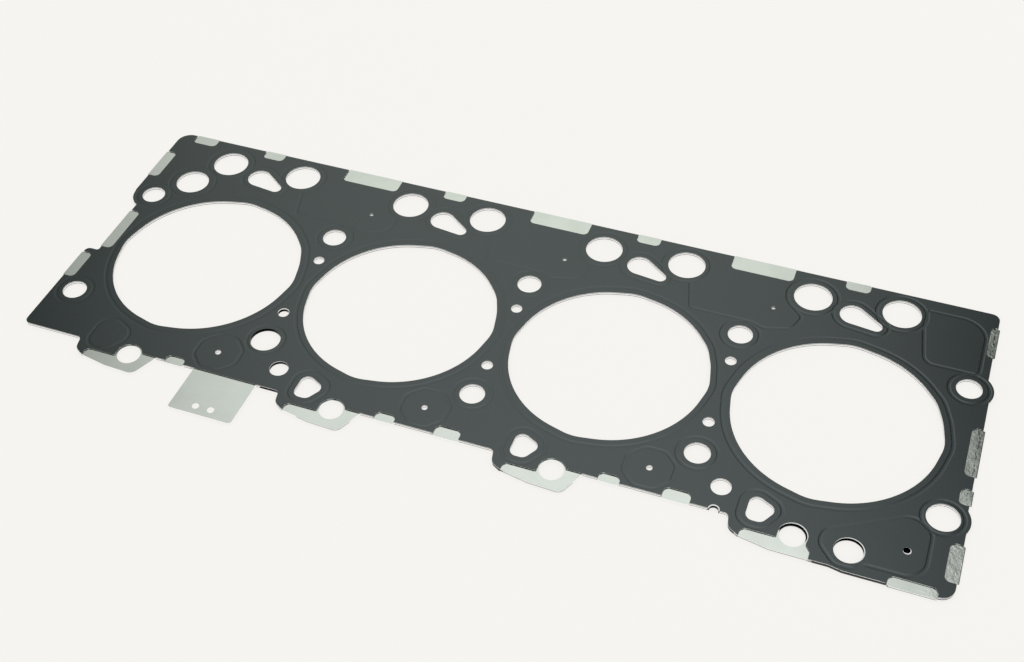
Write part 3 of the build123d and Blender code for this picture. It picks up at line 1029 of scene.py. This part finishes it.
grey_dark, grey_light = (0.001, 0.006, 0.005, 1.0), (0.002, 0.008, 0.007, 1.0)
black_dark, black_light = (0.006, 0.006, 0.006, 1.0), (0.009, 0.009, 0.009, 1.0)
coated_grey = coating("satin_grey_coat", grey_dark, grey_light, (0.25, 0.29), lip_highlights)
coated_black = coating("black_coat", black_dark, black_light, (0.45, 0.55))
print("coats:", coated_grey.name, coated_black.name)

# %% [markdown]
# ## Bare steel
# The spacer is bare rolled steel.  Its mill finish is close to a mirror, with a faint
# grain along the row and soft grey marks, so it is a metal with low roughness that the
# grain varies.  A painted picture of brushed metal would look right from one side only.

# %% Bare steel
bright, dull = (0.70, 0.725, 0.67, 1.0), (0.65, 0.675, 0.62, 1.0)
steel, tree, shader = finish("rolled_steel", 1.0, 0.5)
marks = use_group(tree, handling_marks, Size=60.0, Bite=1.0)
grain = use_group(tree, rolled_grain, Fineness=1500.0, Stretch=0.03)
mill_colour = between(tree, marks.outputs["Mask"], bright, dull)
# painted shade: the spacer's ledge in the notch of the last lobe bolt is black, as in the shadow of
# the sheet above
steel_colour = over(tree, near(tree, dark_ledges), shadow_black, mill_colour)
link(tree, ranged(tree, grain.outputs["Mask"], 0.13, 0.19), shader.inputs["Roughness"])
print("steel:", steel.name)

# %% [markdown]
# ## Wear at the right-hand end
# The bare tongues at this end have been knocked and dragged about.  Their skin is
# uneven, the outermost rim is dark, and a broken scuff runs down those at the waist and
# the neck.  Scuffs could be modelled, but they are thinner than the bead walls, so they
# stay in the finish: a stepped ramp gives the edge beside each tongue, and noise makes
# the scuff wander and break.

# %% Skin of the right-hand tongues
worn_from, worn_to = 232.0, 244.0  # where along x the wear sets in
place = node(tree, "ShaderNodeTexCoord")
split = node(tree, "ShaderNodeSeparateXYZ")
link(tree, place.outputs["Object"], split.inputs[0])
at_end = climb(tree, split.outputs["X"], worn_from * MM, worn_to * MM, "SMOOTHSTEP")
waves = node(tree, "ShaderNodeTexNoise", Scale=95.0, Detail=2.0, Roughness=0.5, Distortion=0.3)
pits = node(tree, "ShaderNodeTexNoise", Scale=750.0, Detail=2.0, Roughness=0.6)
for noise in (waves, pits):
    link(tree, place.outputs["Object"], noise.inputs["Vector"])
waving, pitting = waves.outputs["Fac"], pits.outputs["Fac"]
uneven = calc(tree, "MULTIPLY", calc(tree, "MULTIPLY_ADD", pitting, 0.3, waving), at_end)
bumped(tree, shader, uneven, 1.0, 0.00011)
print("wear sets in from x =", worn_from, "to", worn_to)

# %% Rim and scuffs of the right-hand tongues
ramp_start, ramp_span = 245.0, 10.0  # the stretch of x that black to white stands for
half_width = 100.0
tongues = [(-100.0, right_edge), (-50.0, right_waist), (50.0, right_neck)]
stops = []
for from_y, edge in tongues:
    level = (edge + window_reach - ramp_start) / ramp_span
    stops.append((0.5 + from_y / half_width / 2, (level,) * 3))
along = climb(tree, split.outputs["Y"], -half_width * MM, half_width * MM)
outermost = ramp(tree, along, stops, "CONSTANT")
edge_x = calc(tree, "MULTIPLY_ADD", outermost, ramp_span * MM, ramp_start * MM)
inward = calc(tree, "SUBTRACT", edge_x, split.outputs["X"])

dark_rim = calc(tree, "LESS_THAN", inward, 0.38 * MM)
wander = calc(tree, "MULTIPLY_ADD", waving, 6.0 * MM, -1.0 * MM)
on_scuff = calc(tree, "COMPARE", inward, wander, 0.34 * MM)
rearward = climb(tree, split.outputs["Y"], -40.0 * MM, -20.0 * MM)
whole = calc(tree, "MULTIPLY", on_scuff, rearward)
scuffs = calc(tree, "MULTIPLY", whole, calc(tree, "GREATER_THAN", pitting, 0.47))
worn = calc(tree, "MULTIPLY", calc(tree, "MAXIMUM", scuffs, dark_rim), at_end)
worn_colour = (0.02, 0.022, 0.022, 1.0)
steel_colour = over(tree, calc(tree, "MULTIPLY", worn, 0.7), worn_colour, steel_colour)
link(tree, steel_colour, shader.inputs["Base Color"])
print("tongues reach out to", [edge + window_reach for _, edge in tongues])

# %% [markdown]
# ## Cut edges and inner faces
# Cut edges are bright steel.  Along the lobes the lower part of the spacer's edge is painted
# dark grey: a painted contact shadow, where the edge stands over the floor.  The faces that
# lie between the sheets are bare and bright too, and light that gets in there comes out
# again, so the gap isn't a black line.  Where the sheets stand apart the gap lies in shade,
# and there the places above are laid over the metal in black, as painted shade.

# %% Cut edges and inner faces
def bare_metal(name, dark_places, shaded_part=()):
    """Bright steel, with painted shade: black at some places and dark grey in a part that limits on
    axes set.
    """
    material, tree, shader = finish(name, 1.0, 0.5)
    grain = use_group(tree, rolled_grain, Fineness=2500.0, Stretch=1.0)
    bright, dull = (1.0, 1.0, 1.0, 1.0), (0.96, 0.96, 0.96, 1.0)
    colour = between(tree, grain.outputs["Mask"], bright, dull)
    # painted shade: black over the metal at the given places
    colour = over(tree, near(tree, dark_places), shadow_black, colour)
    if shaded_part:
        spot = node(tree, "ShaderNodeTexCoord")
        split = node(tree, "ShaderNodeSeparateXYZ")
        link(tree, spot.outputs["Object"], split.inputs[0])
        shaded_foot = 1.0
        for axis, side, limit in shaded_part:
            shaded_foot = calc(tree, "MULTIPLY", shaded_foot, calc(tree, side, split.outputs[axis], limit * MM))
        # painted shade: dark grey over the part, a painted contact shadow
        colour = over(tree, shaded_foot, (0.12, 0.13, 0.13, 1.0), colour)
    link(tree, colour, shader.inputs["Base Color"])
    link(tree, ranged(tree, grain.outputs["Mask"], 0.08, 0.2), shader.inputs["Roughness"])
    return material


cut_edge = bare_metal("cut_edge", dark_holes)
inner_edge = bare_metal("inner_edge", dark_edges)
# the lower part of the spacer's edge along the lobes, painted dark as their contact shadow
lobe_edges = [("Z", "LESS_THAN", 0.95), ("Y", "LESS_THAN", -81.5), ("X", "GREATER_THAN", -80.0)]
spacer_edge = bare_metal("spacer_edge", dark_edges, lobe_edges)
print("edges:", cut_edge.name, inner_edge.name, spacer_edge.name)

# %% [markdown]
# ## The three sheets
# Each is cut, pressed and finished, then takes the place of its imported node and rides
# on the one body of the gasket.  Its crowns point at the spacer, so the top sheet is
# the bottom one turned over, and one recipe serves both.

# %% Assemble
def dress(piece, materials, node_name):
    """Give a sheet its finishes and its body, and hide the imported node it replaces."""
    for material in materials:
        piece.data.materials.append(material)
    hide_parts(node_name)
    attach(piece, "root")


upper_cut = triangulate(plate, coated_cuts + holes + [circle(pin_hole, pin_radius)], True)
upper_sheet = make_sheet(
    "upper_sheet", *upper_cut, upper_high - coated_sheet, upper_high, True, flip=True
)
dress(upper_sheet, (coated_grey, inner_edge, cut_edge), "upper_layer")

lower_cut = triangulate(plate, coated_cuts + holes, True)
lower_sheet = make_sheet("lower_sheet", *lower_cut, lower_low, lower_low + coated_sheet, True)
dress(lower_sheet, (inner_edge, coated_black, inner_edge), "lower_layer")

spacer_cut = triangulate(spacer_plate, spacer_cuts + holes, False)
spacer_sheet = make_sheet("spacer_sheet", *spacer_cut, spacer_low, spacer_high, False)
dress(spacer_sheet, (steel, steel, spacer_edge), "bare_spacer")
